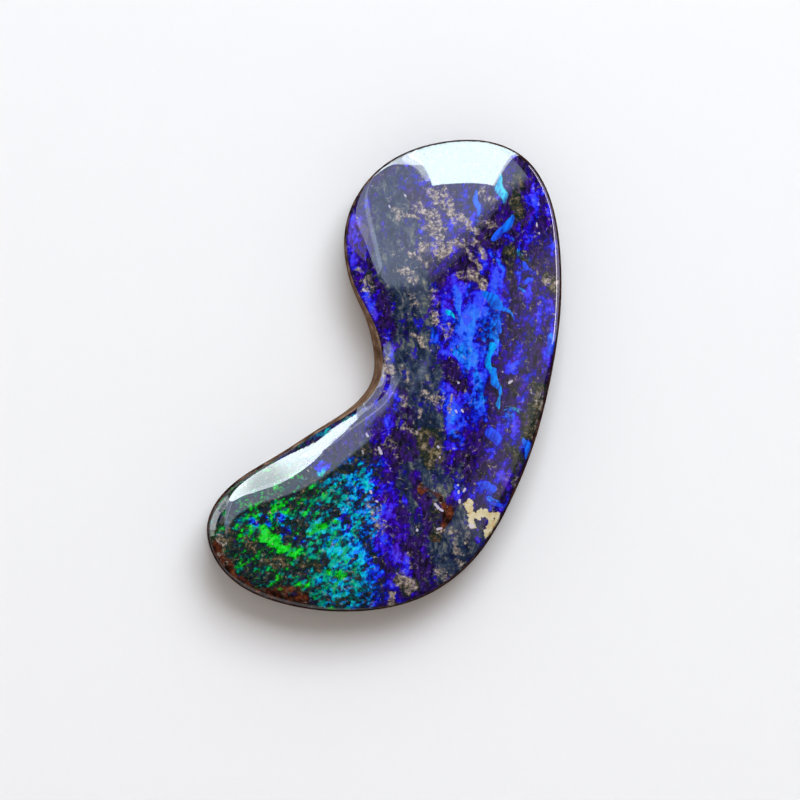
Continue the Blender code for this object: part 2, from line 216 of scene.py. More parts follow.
    (-2.7, -8.7, -1.75, -8.7, 0.25, 0.6, 1.4), (-2.55, -9.2, -1.85, -9.4, 0.2, 0.62, 1.3),
    (-1.75, -8.6, -1.65, -9.1, 0.2, 0.54, 1.05), (-2.0, -9.3, -1.45, -9.7, 0.25, 0.68, 0.95),
    (-2.75, -9.6, -2.15, -9.95, 0.2, 0.88, 0.95), (-1.85, -5.1, -1.15, -5.8, 0.25, 0.48, 0.85),
    (-1.45, -5.4, -0.85, -5.9, 0.23, 0.44, 0.95), (-1.35, -8.8, -0.45, -9.6, 0.3, 0.42, 1.0),
    (-1.1, -8.45, -0.55, -9.9, 0.25, 0.38, 1.0), (-1.15, -5.3, -0.7, -5.5, 0.17, 0.5, 1.05),
    (-1.85, -6.65, -1.55, -7.0, 0.17, 0.54, 1.0), (-1.85, -7.9, -1.45, -8.2, 0.18, 0.54, 1.0),
    (-2.15, -7.0, -1.85, -7.6, 0.23, 0.1, 0.5), (-6.15, -10.15, -5.45, -10.6, 0.25, 0.9, 0.66),
    (-4.8, -10.0, -4.15, -10.3, 0.23, 0.8, 0.6), (-3.45, -10.1, -2.95, -10.3, 0.2, 0.64, 0.95),
    (-1.55, -10.5, -1.35, -11.3, 0.2, 0.66, 0.85), (-2.6, -11.45, -2.25, -11.6, 0.17, 0.86, 0.95),
    (-3.7, -4.35, -2.9, -4.5, 0.25, 0.05, 0.88), (-3.1, -4.5, -2.9, -4.8, 0.13, 0.5, 1.0),
    (-5.65, -9.15, -4.95, -9.2, 0.3, 0.8, 0.04), (-6.95, -7.8, -6.55, -8.75, 0.25, 0.8, 0.04),
    (-4.75, -7.3, -4.05, -7.5, 0.3, 0.7, 0.12), (-8.15, -8.7, -7.65, -9.9, 0.4, 0.8, 0.03),
    (-6.15, -10.9, -3.85, -11.25, 0.3, 0.84, 0.05), (-4.15, -9.3, -3.35, -9.5, 0.3, 0.8, 0.16),
    (-4.0, -5.7, -2.55, -4.6, 0.12, 0.6, 0.1), (-2.75, -6.45, -2.45, -6.8, 0.25, 0.6, 0.2),
    (-3.35, -8.5, -2.95, -9.1, 0.25, 0.7, 0.25), (-5.15, -7.5, -4.85, -7.9, 0.17, 0.2, 0.35),
    (-4.25, -8.2, -3.95, -8.5, 0.17, 0.24, 0.5), (-2.35, -4.8, -1.05, -3.65, 0.3, 0.3, 0.1),
)

# Ground seen between the flakes, blue-grey and olive: strokes with their reach and strength
SLATE = (
    (7.1, 2.3, 6.95, -0.45, 0.6, 0.44), (6.0, -5.1, 6.35, -6.2, 0.4, 0.4),
    (7.35, -2.6, 7.65, -3.2, 0.3, 0.4), (2.75, -9.8, 3.85, -8.5, 0.6, 0.8),
    (0.5, 9.8, 2.75, 10.0, 0.5, 0.7), (0.15, 8.8, 0.35, 5.4, 1.0, 0.95),
    (1.35, 7.05, 1.0, 5.7, 0.9, 0.6), (1.25, 4.55, 1.95, 0.05, 1.1, 1.0),
    (1.0, 1.3, 2.55, -2.45, 1.0, 0.95), (2.0, -4.45, 3.0, -5.7, 0.8, 0.85),
    (3.75, -7.45, 5.0, -9.2, 1.0, 0.9), (0.9, -4.7, 1.5, -7.7, 0.4, 0.8),
    (2.75, -8.45, 4.25, -9.95, 0.8, 0.85), (-1.65, 8.05, -0.65, 6.3, 0.35, 0.35),
    (3.55, -4.7, 3.9, -6.2, 0.35, 0.55), (0.5, -0.95, 0.85, -2.45, 0.45, 0.45),
    (5.65, -8.0, 4.65, -9.2, 0.4, 0.55), (2.25, 4.3, 2.45, 2.8, 0.3, 0.7),
    (0.75, -10.7, 2.0, -10.2, 0.4, 0.4), (-2.55, -4.8, -0.95, -3.5, 0.35, 0.75),
)
EARTH = (
    (-8.45, -7.9, -7.75, -9.5, 0.45, 0.85), (2.35, -6.5, 2.6, -7.9, 0.4, 0.6),
    (6.75, 9.9, 6.45, 8.5, 0.3, 1.0), (6.4, 8.6, 6.55, 7.7, 0.35, 0.8),
    (6.15, 6.2, 6.95, 5.7, 0.3, 0.8), (6.1, 5.7, 6.1, 4.5, 0.2, 0.6),
    (7.8, 5.0, 8.55, 4.3, 0.3, 1.0), (-1.0, 5.0, -0.8, 4.15, 0.35, 0.9),
    (7.55, -0.6, 7.4, -2.45, 0.5, 1.0), (7.15, -2.1, 7.15, -2.9, 0.45, 0.9),
    (6.35, -3.7, 6.55, -4.3, 0.45, 0.75), (6.45, -4.7, 6.25, -5.5, 0.25, 0.8),
    (2.15, -3.1, 2.35, -3.8, 0.7, 1.35), (0.25, -3.2, 1.15, -3.8, 0.45, 0.5),
    (5.85, -0.5, 6.4, -0.8, 0.3, 0.55), (1.9, -5.55, 2.0, -5.75, 0.2, 0.7),
    (-7.95, -7.45, -8.15, -8.6, 0.4, 1.0), (-6.95, -7.8, -6.55, -8.75, 0.25, 0.9),
    (-5.7, -9.15, -4.9, -9.2, 0.3, 0.9), (-4.15, -9.3, -3.35, -9.5, 0.25, 0.6),
    (0.6, -10.0, 1.25, -10.55, 0.45, 1.4), (-1.55, -4.1, -0.95, -3.6, 0.35, 0.6),
    (-2.45, -4.55, -4.0, -5.75, 0.12, 0.9), (2.6, -7.6, 2.45, -8.0, 0.15, 1.0),
    (-3.35, -10.7, -2.0, -11.2, 0.25, 0.55), (8.75, 4.8, 8.65, 4.2, 0.15, 0.6),
    (4.95, -4.7, 5.15, -5.0, 0.25, 0.4),
)

# Duller polish in the neck, in the same way
DULL = (
    (1.95, 2.7, 2.0, 1.4, 0.45, 0.95), (1.9, 1.3, 1.35, 0.0, 0.45, 0.95),
    (0.75, 1.6, 0.9, 0.2, 0.45, 0.95), (1.3, -0.1, 0.45, -1.4, 0.4, 0.95),
    (0.25, -1.7, -0.45, -2.7, 0.35, 0.9),
)

# Beige threads of ironstone, rust stains, and the paler wall of the hollow, in the same way
LACE = (
    (0.3, 8.25, 0.65, 8.1, 0.18, 0.7), (0.65, 7.8, 1.45, 7.8, 0.15, 0.85),
    (1.25, 8.4, 1.95, 8.1, 0.23, 0.62), (1.95, 8.1, 2.0, 7.3, 0.15, 0.72),
    (2.35, 9.2, 2.85, 8.6, 0.35, 0.76), (2.25, 8.1, 2.75, 6.9, 0.35, 0.8),
    (3.65, 7.7, 4.45, 7.2, 0.25, 0.8), (1.8, 6.3, 2.95, 6.5, 0.25, 0.85),
    (2.75, 6.05, 3.75, 6.5, 0.28, 0.85), (1.65, 5.9, 1.85, 5.7, 0.2, 0.75),
    (1.25, 5.9, 1.5, 5.8, 0.13, 0.9), (4.15, 6.65, 4.85, 6.6, 0.15, 0.75),
    (4.85, 6.6, 4.95, 5.9, 0.15, 0.75), (4.25, 6.3, 4.35, 5.8, 0.13, 0.75),
    (4.45, 5.7, 4.75, 5.5, 0.15, 0.65), (4.25, 5.0, 4.85, 4.5, 0.28, 0.85),
    (3.55, 5.05, 3.75, 4.85, 0.15, 0.8), (4.65, 7.7, 5.25, 7.5, 0.15, 0.72),
    (4.8, 9.3, 5.25, 8.8, 0.28, 0.62), (0.85, 5.15, 1.35, 4.7, 0.3, 0.66),
    (1.25, 4.0, 1.75, 3.4, 0.25, 0.45), (2.35, 4.3, 2.6, 2.7, 0.23, 0.6),
    (1.45, 1.9, 1.95, 1.6, 0.25, 0.72), (-0.05, 0.75, 0.4, 0.4, 0.25, 0.95),
    (-0.1, 0.1, 0.05, -0.1, 0.17, 0.7), (1.0, 0.3, 1.25, -0.4, 0.17, 0.55),
    (2.05, -0.85, 2.65, -1.1, 0.3, 0.72), (2.55, -1.1, 2.65, -1.5, 0.2, 0.5),
    (0.5, -1.0, 0.85, -1.1, 0.15, 0.7), (0.8, -1.3, 1.05, -1.6, 0.15, 0.62),
    (1.6, -1.75, 1.75, -1.95, 0.13, 0.85), (1.0, -2.55, 1.25, -2.7, 0.17, 0.72),
    (1.35, -2.8, 1.8, -3.05, 0.17, 0.72), (7.85, 4.95, 8.5, 4.4, 0.25, 0.62),
    (-0.7, -6.35, -0.25, -7.5, 0.35, 0.55), (0.65, -10.1, 1.3, -10.6, 0.35, 0.75),
    (0.35, -10.8, 0.45, -11.35, 0.15, 1.0), (2.6, -7.6, 2.8, -7.55, 0.09, 1.1),
    (-1.05, 4.7, -0.85, 4.2, 0.2, 0.62), (-1.45, 5.2, -1.25, 5.0, 0.12, 0.65),
    (1.75, 8.6, 1.95, 8.25, 0.17, 0.7), (3.05, 9.0, 3.35, 7.7, 0.25, 0.68),
    (3.2, -7.8, 3.65, -7.9, 0.13, 0.62), (3.55, -8.2, 3.7, -8.8, 0.17, 0.7),
    (4.05, -7.6, 4.25, -8.45, 0.2, 0.45), (2.5, -9.5, 3.15, -10.1, 0.23, 0.6),
    (3.5, -9.2, 3.85, -9.5, 0.15, 0.55), (1.1, -9.3, 1.35, -9.5, 0.15, 0.5),
    (2.85, 2.45, 3.2, 2.0, 0.23, 0.5), (3.15, -0.95, 3.2, -1.8, 0.08, 0.8),
    (6.35, -0.4, 6.55, -0.3, 0.12, 0.55), (7.35, -0.75, 7.65, -1.4, 0.3, 0.45),
    (-0.45, -3.6, -0.65, -4.0, 0.15, 0.4), (0.2, -3.25, 0.55, -3.8, 0.3, 0.36),
    (6.55, -5.25, 6.75, -5.7, 0.2, 0.5), (7.75, 9.9, 8.15, 9.3, 0.2, 0.3),
    (-8.1, -7.7, -7.9, -9.2, 0.25, 0.42),
)
RUST = (
    (-8.5, -8.8, -7.85, -10.2, 0.45, 0.8), (1.8, -5.6, 2.0, -5.75, 0.2, 0.95),
    (2.25, -5.6, 2.65, -5.85, 0.2, 0.7), (2.8, -6.05, 3.1, -6.5, 0.25, 0.85),
    (3.0, -6.8, 2.9, -7.3, 0.33, 1.0), (2.45, -7.8, 2.55, -8.0, 0.2, 0.6),
    (-8.3, -8.5, -7.8, -9.8, 0.4, 1.0), (-7.65, -10.0, -6.35, -10.8, 0.25, 0.8),
    (-5.85, -10.7, -3.85, -11.2, 0.35, 1.0), (-5.25, -10.4, -4.45, -10.7, 0.3, 0.75),
    (-1.25, 5.0, -0.95, 4.6, 0.2, 0.45), (6.65, -3.6, 6.85, -4.0, 0.2, 0.4),
    (6.05, -0.6, 6.35, -0.8, 0.3, 0.45),
)
TAN = (
    (-0.65, 10.5, -1.65, 9.05, 0.7, 0.35), (-2.05, 7.0, -1.75, 5.7, 1.5, 0.35),
    (-6.35, -4.3, -4.75, -3.4, 1.7, 0.35), (-1.85, 5.5, -1.25, 3.55, 1.3, 0.65),
    (-4.45, -3.2, -2.5, -2.1, 1.4, 0.65), (-1.15, 3.4, -0.6, 0.8, 1.2, 1.0),
    (-0.6, 0.8, -1.75, -1.6, 1.2, 1.0),
)

# Crisp cream patches, with their half widths
CREAM = (
    (4.14, -6.35, 4.18, -6.65, 0.22), (4.25, -6.85, 4.36, -7.45, 0.15),
    (4.45, -6.9, 4.65, -6.95, 0.18), (4.75, -6.82, 4.95, -6.82, 0.19),
    (4.95, -6.85, 5.2, -6.95, 0.18), (5.22, -7.0, 5.35, -7.35, 0.21),
    (5.55, -6.85, 5.55, -7.15, 0.14), (5.4, -7.25, 5.52, -7.38, 0.17),
    (5.18, -7.55, 5.08, -7.8, 0.2),
)

# Flashes from tip to tip, with their half widths, hues and bluntness
FLASHES = (
    (5.7, 10.15, 5.95, 8.4, 0.25, 0.84, 2.0), (4.55, 9.3, 4.55, 7.9, 0.18, 0.4, 2.0),
    (5.45, 6.8, 6.05, 7.4, 0.25, 0.36, 2.4), (5.75, 6.95, 6.25, 7.85, 0.27, 0.46, 2.4),
    (6.15, 6.85, 6.5, 6.6, 0.13, 0.56, 2.0), (6.45, 4.4, 7.2, 4.15, 0.1, 0.62, 2.0),
    (4.85, 4.25, 6.15, 3.2, 0.3, 0.48, 2.2), (5.65, 3.8, 6.55, 2.7, 0.09, 0.52, 2.0),
    (5.5, 2.9, 5.75, 2.1, 0.15, 0.4, 2.0), (3.2, 3.35, 3.45, 2.75, 0.15, 0.78, 2.0),
    (5.2, 1.75, 5.25, 0.2, 0.19, 0.64, 3.0), (5.4, 0.6, 5.6, -1.1, 0.18, 0.56, 2.4),
    (5.55, -0.95, 5.6, -1.65, 0.12, 0.64, 2.0), (5.75, -1.62, 6.85, -1.72, 0.04, 0.86, 3.0),
    (5.8, -1.8, 6.75, -1.88, 0.04, 0.66, 3.0), (5.2, -2.5, 5.7, -3.35, 0.26, 0.3, 4.0),
    (6.95, -3.05, 7.05, -4.15, 0.2, 0.42, 2.0), (5.05, -5.1, 5.45, -5.7, 0.25, 0.3, 3.0),
    (5.05, -5.9, 5.9, -6.2, 0.08, 0.44, 2.0), (5.25, -6.35, 5.9, -6.4, 0.13, 0.26, 2.0),
    (7.95, 2.0, 8.35, 1.0, 0.15, 0.3, 3.0), (6.7, 5.6, 7.25, 5.2, 0.17, 0.3, 2.0),
    (6.75, 4.5, 7.25, 4.9, 0.15, 0.28, 2.0), (3.35, 1.45, 3.55, 0.9, 0.1, 0.6, 2.0),
    (3.9, 1.35, 4.05, 0.8, 0.11, 0.46, 2.0),
)

# Small pale glints, with their half widths
GLINTS = (
    (-0.3, -3.55, -0.18, -3.85, 0.08), (2.5, -6.35, 2.65, -6.55, 0.08),
    (2.75, -6.62, 2.85, -6.67, 0.08), (1.6, -7.62, 1.6, -7.68, 0.07), (2.6, -7.6, 2.8, -7.55, 0.07),
    (7.52, 7.6, 7.55, 7.4, 0.05), (7.63, 7.1, 7.7, 7.05, 0.06), (5.82, 0.22, 5.85, 0.18, 0.05),
    (3.61, -0.32, 3.65, -0.35, 0.07), (6.15, -0.35, 6.3, -0.25, 0.07),
    (4.25, -7.42, 4.35, -7.45, 0.11), (3.6, -5.4, 3.62, -5.42, 0.06),
    (3.65, -5.7, 3.65, -5.8, 0.06), (3.9, -5.72, 3.97, -5.6, 0.07), (3.7, -6.15, 3.7, -6.28, 0.06),
    (2.72, -4.02, 2.78, -4.12, 0.07), (2.62, -3.5, 2.66, -3.55, 0.07), (3.8, -1.7, 3.9, -1.8, 0.06),
    (3.5, -1.7, 3.55, -1.8, 0.06), (-0.92, -2.85, -0.85, -3.0, 0.07),
    (-1.12, -3.72, -1.08, -3.85, 0.06), (-0.71, -5.7, -0.67, -5.8, 0.07),
    (-0.42, -6.2, -0.38, -6.25, 0.07), (5.4, 6.0, 5.45, 5.95, 0.04), (-1.1, 4.3, -0.95, 4.2, 0.07),
    (0.2, 8.45, 0.25, 8.35, 0.05), (0.95, 9.0, 1.05, 8.9, 0.05), (4.75, 6.15, 4.8, 6.1, 0.05),
)


# Shape


def closed_curve(points, count):
    """Return count points, evenly spaced along the closed cubic spline through the given points.

    Between two knots the curve is the cubic whose second derivatives at the knots solve the
    periodic continuity equations; its parameter is the chord length. The spacing is measured on
    CURVE_STEPS times as many points.
    """
    knots = np.array(points, float)
    number = len(knots)
    chord = np.hypot(*np.diff(np.vstack([knots, knots[:1]]), axis=0).T)
    matrix = np.zeros((number, number))
    right = np.zeros((number, 2))
    for i in range(number):
        before, after = chord[i - 1], chord[i]
        following = (i + 1) % number
        matrix[i, (i - 1) % number] += before
        matrix[i, i] += 2 * (before + after)
        matrix[i, following] += after
        right[i] = 6 * ((knots[following] - knots[i]) / after - (knots[i] - knots[i - 1]) / before)
    bending = np.linalg.solve(matrix, right)
    start = np.r_[0, np.cumsum(chord)]

    def evaluate(distance):
        i = np.clip(np.searchsorted(start, distance, side="right") - 1, 0, number - 1)
        j = (i + 1) % number
        h = chord[i][:, None]
        t = (distance - start[i])[:, None]
        w = h - t
        cubic = (bending[i] * w ** 3 + bending[j] * t ** 3) / (6 * h)
        linear = (knots[i] / h - bending[i] * h / 6) * w + (knots[j] / h - bending[j] * h / 6) * t
        return cubic + linear

    fine = np.linspace(0, start[-1], CURVE_STEPS * count, endpoint=False)
    curve = evaluate(fine)
    lengths = np.hypot(*np.diff(np.vstack([curve, curve[:1]]), axis=0).T)
    travelled = np.r_[0, np.cumsum(lengths)]
    even = np.linspace(0, travelled[-1], count, endpoint=False)
    return evaluate(np.interp(even, travelled, np.r_[fine, start[-1]]))


def outward(curve):
    """Return the unit vectors that point out of a closed clockwise curve."""
    along = np.roll(curve, -1, 0) - np.roll(curve, 1, 0)
    along /= np.linalg.norm(along, axis=1)[:, None]
    return np.stack([-along[:, 1], along[:, 0]], 1)


def arc_distance(curve, place):
    """Return each point's distance along the curve from the curve's point nearest to a place."""
    step = np.linalg.norm(curve[1] - curve[0])
    nearest = np.argmin(((curve - np.array(place)) ** 2).sum(1))
    half = len(curve) // 2
    return step * ((np.arange(len(curve)) - nearest + half) % len(curve) - half)


class Stone:
    """The stone's shape in millimetres, as functions of the distance round it and inward."""

    def __init__(self, shape):
        self.shape = shape
        curve = closed_curve(OUTLINE, COLUMNS * SAMPLES_PER_COLUMN)
        self.centre = (curve.min(0) + curve.max(0)) / 2
        self.girdle = curve
        self.normal = outward(curve)
        bump = np.exp(-(arc_distance(curve, HOLLOW_CENTRE) / shape.hollow_reach) ** 2)
        self.lean = shape.rim_inset + shape.hollow_inset * bump
        self.rim = curve - self.normal * self.lean[:, None]
        weight = np.stack([
            np.exp(-(arc_distance(curve, place) / SHOULDER_BLEND) ** 2)
            for place, _, _ in SHOULDERS])
        weight /= weight.sum(0)
        self.width = np.array([width for _, width, _ in SHOULDERS]) @ weight
        self.fall = np.array([fall for _, _, fall in SHOULDERS]) @ weight
        self.rim_height = shape.top_height - self.fall - shape.edge_roll - self.dip(self.rim)

    def dip(self, flat):
        """Return the depth of the dip over flat points: depth * exp(-(x / a)^2 - (y / b)^2)."""
        away = (flat - np.array(DIP_CENTRE)) / np.array(DIP_REACH)
        return self.shape.dip_depth * np.exp(-(away ** 2).sum(1))

    def face(self, flat, stride):
        """Return the depth inside the rim and the height of the polished face over points.

        The depth d is the root of 2 over the sum of ds / r^3 round the rim. The same weights
        spread the shoulder's width w and fall h inward. The height is the top's, less
        h (1 - d / w)^p, less the edge's roll times exp(-d / reach), less the dip.
        """
        rim = self.rim[::stride]
        step = np.hypot(*(np.roll(rim, -1, 0) - rim).T)
        values = np.stack([np.ones(len(rim)), self.width[::stride], self.fall[::stride]], 1)
        sums = np.empty((len(flat), 3))
        for i in range(0, len(flat), POINTS_AT_ONCE):
            part = slice(i, i + POINTS_AT_ONCE)
            squared = ((flat[part, None] - rim[None]) ** 2).sum(2)
            sums[part] = (step / squared ** 1.5) @ values
        depth = np.sqrt(2 / sums[:, 0])
        width, fall = sums[:, 1] / sums[:, 0], sums[:, 2] / sums[:, 0]
        shape = self.shape
        roll = shape.edge_roll * np.exp(-depth / shape.edge_reach)
        left = np.clip(1 - depth / width, 0, None)
        return depth, shape.top_height - fall * left ** SHOULDER_POWER - roll - self.dip(flat)

    def wall_rows(self):
        """Return the rows from the flat back to just under the rim.

        The bevel is a quarter of an ellipse from the back to the girdle. Above it the wall leans
        inward by lean * t^WALL_POWER, with t from 0 at the girdle to 1 at the rim.
        """
        shape = self.shape
        girdle = self.girdle[::SAMPLES_PER_COLUMN]
        normal = self.normal[::SAMPLES_PER_COLUMN]
        lean = self.lean[::SAMPLES_PER_COLUMN]
        rows = []
        for angle in np.linspace(0, math.pi / 2, BEVEL_ROWS):
            inset = shape.back_inset * (1 - math.sin(angle))
            height = shape.girdle_height * (1 - math.cos(angle))
            rows.append(self.row(girdle - normal * inset, height))
        rise = self.rim_height[::SAMPLES_PER_COLUMN] - shape.girdle_height
        top = 1 - shape.rim_round / rise
        for share in np.linspace(0, 1, WALL_ROWS)[1:]:
            t = share * top
            rows.append(self.row(girdle - normal * (lean * t ** WALL_POWER)[:, None],
                                 shape.girdle_height + rise * t))
        return rows

    @staticmethod
    def row(flat, height):
        """Return points of one height, or of one height each, over flat points."""
        return np.column_stack([flat, np.broadcast_to(height, len(flat))])

    def face_rows(self):
        """Return the rows of the face: offsets of the rim, then straight lines on to the hub."""
        rim = self.rim[::SAMPLES_PER_COLUMN]
        normal = self.normal[::SAMPLES_PER_COLUMN]
        near = [rim - normal * offset for offset in OFFSETS]
        shares = np.arange(1, FAN_ROWS) / FAN_ROWS
        far = [near[-1] + (np.array(HUB) - near[-1]) * share for share in shares]
        rows, depths = [], []
        for flats, stride in ((near, 1), (far, FAR_STRIDE)):
            flat = np.concatenate(flats)
            depth, height = self.face(flat, stride)
            rows += list(np.column_stack([flat, height]).reshape(len(flats), COLUMNS, 3))
            depths += list(depth.reshape(len(flats), COLUMNS))
        return rows, depths

    def round_rows(self, below, above):
        """Return rows on a parabola from the wall's last row over the rim to the face's first."""
        corner = self.row(self.rim, self.rim_height)[::SAMPLES_PER_COLUMN]
        shares = np.arange(1, ROUND_ROWS) / ROUND_ROWS
        return [below * (1 - t) ** 2 + corner * 2 * t * (1 - t) + above * t ** 2 for t in shares]


def stone_surface(shape):
    """Return the stone's points, quads, triangles and fields.

    The points are rows of columns, from the back over the rim to the hub, and one closing point
    at each end.
    """
    stone = Stone(shape)
    wall = stone.wall_rows()
    face, depths = stone.face_rows()
    rounding = stone.round_rows(wall[-1], face[0])
    rows = wall + rounding + face
    hub_depth, hub_height = stone.face(np.array([HUB]), SAMPLES_PER_COLUMN)
    ends = np.array([[*HUB, 0.0], [*HUB, hub_height[0]]])
    points = np.concatenate([*rows, ends])
    depth = np.concatenate([
        np.zeros(COLUMNS * (len(wall) + len(rounding))), *depths, [0.0, hub_depth[0]]])
    fields = {"depth": depth, **face_fields(points[:, :2])}
    points[:, :2] -= stone.centre

    ring = np.arange(COLUMNS)
    following = (ring + 1) % COLUMNS
    base = (np.arange(len(rows) - 1) * COLUMNS)[:, None]
    quads = np.stack([base + ring, base + COLUMNS + ring, base + COLUMNS + following,
                      base + following], 2).reshape(-1, 4)
    last = (len(rows) - 1) * COLUMNS
    back, summit = len(points) - 2, len(points) - 1
    back_fan = np.stack([np.full(COLUMNS, back), ring, following], 1)
    top_fan = np.stack([np.full(COLUMNS, summit), last + following, last + ring], 1)
    return points, quads, np.concatenate([back_fan, top_fan]), fields


def new_mesh(name, points, quads, triangles, fields):
    """Make a smooth mesh from points in millimetres, quads, triangles and values for each point."""
    mesh = bpy.data.meshes.new(name)
    mesh.vertices.add(len(points))
    mesh.vertices.foreach_set("co", (points * MM).astype(np.float32).ravel())
    corners = np.concatenate([quads.ravel(), triangles.ravel()])
    mesh.loops.add(len(corners))
    mesh.loops.foreach_set("vertex_index", corners.astype(np.int32))
    totals = np.r_[np.full(len(quads), 4), np.full(len(triangles), 3)]
    mesh.polygons.add(len(totals))
    mesh.polygons.foreach_set("loop_start", np.r_[0, np.cumsum(totals)[:-1]].astype(np.int32))
    mesh.update(calc_edges=True)
    for field, values in fields.items():
        attribute = mesh.attributes.new(field, "FLOAT", "POINT")
        attribute.data.foreach_set("value", values.astype(np.float32))
    mesh.shade_smooth()
    return mesh


# Colours painted on the face


def wandered(flat):
    """Return flat points shifted by sums of sines, so that painted edges wander."""
    x, y = flat.T
    shift_x = (0.10 * np.sin(2.1 * y + 0.7) + 0.07 * np.sin(5.3 * y - 2.9 * x)
               + 0.04 * np.sin(11 * x))
    shift_y = (0.10 * np.sin(2.4 * x + 1.9) + 0.07 * np.sin(4.7 * x + 3.1 * y)
               + 0.04 * np.sin(12 * y))
    return flat + np.column_stack([shift_x, shift_y])


def segment_distance(flat, start, end):
    """Return the distance of flat points from the segment between two places."""
    start, end = np.array(start), np.array(end)
    along = end - start
    share = np.clip((flat - start) @ along / (along @ along), 0, 1)
    return np.linalg.norm(flat - start - share[:, None] * along, axis=1)


def painted(flat, strokes, start):
    """Lay strokes over the starting values one after another.

    A stroke moves the field towards its values by the weight exp(-(d / reach)^4), with d the
    distance from the stroke's segment.
    """
    field = np.tile(np.array(start, float), (len(flat), 1))
    for x1, y1, x2, y2, reach, *values in strokes:
        distance = segment_distance(flat, (x1, y1), (x2, y2))
        field += (np.array(values) - field) * np.exp(-(distance / reach) ** 4)[:, None]
    return field.T


def patches(flat, strokes):
    """Return the largest of 1 - d / reach over strokes: positive inside, negative outside."""
    levels = [1 - segment_distance(flat, (x1, y1), (x2, y2)) / reach
              for x1, y1, x2, y2, reach in strokes]
    return np.max(levels, axis=0)


def lenses(flat, strokes):
    """Return the level and the hue of flashes, and the place along the highest one.

    The level is 1 - |t|^e - |u|^(e - 1), with t along the flash from -1 to 1, u across it in half
    widths and e its bluntness, from 2 for pointed ends. The hue is that of the highest flash.
    """
    levels, places = [], []
    for x1, y1, x2, y2, half_width, _, bluntness in strokes:
        middle = np.array(((x1 + x2) / 2, (y1 + y2) / 2))
        half = np.array((x2, y2)) - middle
        length = np.linalg.norm(half)
        t = (flat - middle) @ half / length ** 2
        u = (flat - middle) @ np.array((-half[1], half[0])) / (length * half_width)
        levels.append(1 - np.abs(t) ** bluntness - np.abs(u) ** (bluntness - 1))
        places.append(u)
    levels = np.clip(levels, -2, 1)
    highest = levels.argmax(0)
    hues = np.array([stroke[5] for stroke in strokes])
    return levels.max(0), hues[highest], np.array(places)[highest, np.arange(len(flat))]


def smoothstep(values):
    """Return 3 t^2 - 2 t^3, with t the values held between 0 and 1."""
    t = np.clip(values, 0, 1)
    return t * t * (3 - 2 * t)


def ground_hue(flat):
    """Return the arm's share of flat points, and the hue that lies under the strokes.

    The arm's share is a smooth step down Y. Its hue runs from green at the tip to violet.
    """
    x, y = flat.T
    arm = smoothstep((ARM_START - y) / ARM_BLEND)
    places, hues = np.array(ARM_HUES).T
    return arm, BODY_HUE + (np.interp(x, places, hues) - BODY_HUE) * arm


def face_fields(flat):
    """Return the painted fields of the face over flat points, by name.

    A stroke turns the hue under it by as much as its own hue differs from that at its middle.
    For the arm's finer flakes, its share also ends along X.
    """
    loose = wandered(flat)
    arm, start = ground_hue(loose)
    middles = np.array([((x1 + x2) / 2, (y1 + y2) / 2) for x1, y1, x2, y2, *_ in PLAY])
    turned = [(*place, hue - under, glow)
              for (*place, hue, glow), under in zip(PLAY, ground_hue(middles)[1])]
    turn, glow = painted(loose, turned, (0.0, BODY_GLOW))
    fields = {"hue": start + turn, "glow": glow,
              "arm": arm * smoothstep((ARM_END - loose[:, 0]) / ARM_END_BLEND)}
    for name, strokes in (("slate", SLATE), ("earth", EARTH), ("lace", LACE), ("rust", RUST),
                          ("dull", DULL)):
        fields[name], = painted(loose, strokes, (0,))
    fields["tan"], = painted(flat, TAN, (0,))
    fields["cream"] = patches(flat, CREAM)
    fields["glint"] = patches(flat, GLINTS)
    fields["flash"], fields["flash_hue"], fields["flash_across"] = lenses(loose, FLASHES)
    return fields


# Materials

# Noise mostly stays between 0.3 and 0.7, so it is stretched by this much to span -1 to 1
NOISE_GAIN = 5.0

# Depths inside the rim in millimetres where the polish begins and the painted rim shade ends
POLISH_BEGINS = (0.06, 0.11)
RIM_SHADE_ENDS = (0.20, 0.08)

# Height of the fine relief in the bump, in millimetres
RELIEF_HEIGHT = 0.06


class Value:
    """A socket of a node tree; arithmetic on it adds Math nodes."""

    def __init__(self, graph, socket):
        self.graph = graph
        self.socket = socket

    def __add__(self, other):
        return self.graph.math("ADD", self, other)

    def __sub__(self, other):
        return self.graph.math("SUBTRACT", self, other)

    def __rsub__(self, other):
        return self.graph.math("SUBTRACT", other, self)

    def __mul__(self, other):
        return self.graph.math("MULTIPLY", self, other)

    __radd__ = __add__
    __rmul__ = __mul__


